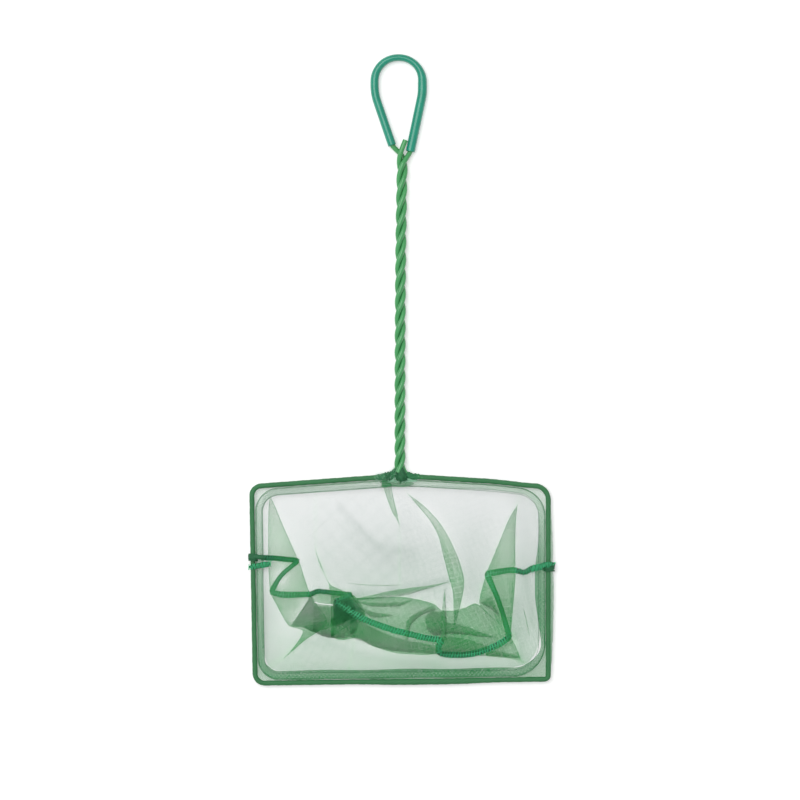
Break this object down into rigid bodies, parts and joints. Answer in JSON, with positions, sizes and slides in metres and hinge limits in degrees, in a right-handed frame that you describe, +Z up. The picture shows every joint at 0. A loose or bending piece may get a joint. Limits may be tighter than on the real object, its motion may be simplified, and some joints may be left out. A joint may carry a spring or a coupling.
{
  "type": "aquarium fish net",
  "caption": "Hand net for aquarium fish: a shallow green mesh bag on a rectangular coated-wire frame, with a twisted wire handle and a sleeved hand loop.",
  "frame": {"origin": "centre of the net's outline, on the surface that it lies on", "axes": "+Y along the handle towards the hand loop, +X across the frame to the right seen from above, +Z up out of the open bag"},
  "size_m": [0.2021, 0.422, 0.0077],
  "materials": {
    "steel": "satin",
    "wire_coating": "semi-gloss",
    "sleeve": "gloss",
    "casing_mesh": "knitted mesh",
    "hem_mesh": "folded mesh",
    "bag_mesh": "fine mesh",
    "thread": "thread",
    "seam_thread": "overlock thread"
  },
  "bodies": {
    "root": {"cut_strand_core": "steel", "cut_strand_coat": "wire_coating", "left_strand_core": "steel", "left_strand_coat": "wire_coating", "right_strand_core": "steel", "right_strand_coat": "wire_coating", "frame_core": "steel", "frame_coat": "wire_coating", "loop_core": "steel", "loop_coat": "wire_coating", "loop_sleeve": "sleeve", "casing_upper_left": "casing_mesh", "casing_upper_right": "casing_mesh", "casing_lower": "casing_mesh", "hem_upper": "hem_mesh", "hem_lower": "hem_mesh", "hem_thread_upper": "thread", "hem_thread_lower": "thread", "bag_upper": "bag_mesh", "bag_lower": "bag_mesh", "bag_seam": "seam_thread", "side_tack_left": "thread", "side_tack_right": "thread", "neck_tack_left": "thread", "neck_tack_right": "thread", "neck_gather_left": "casing_mesh", "neck_gather_right": "casing_mesh"}
  },
  "joints": []
}
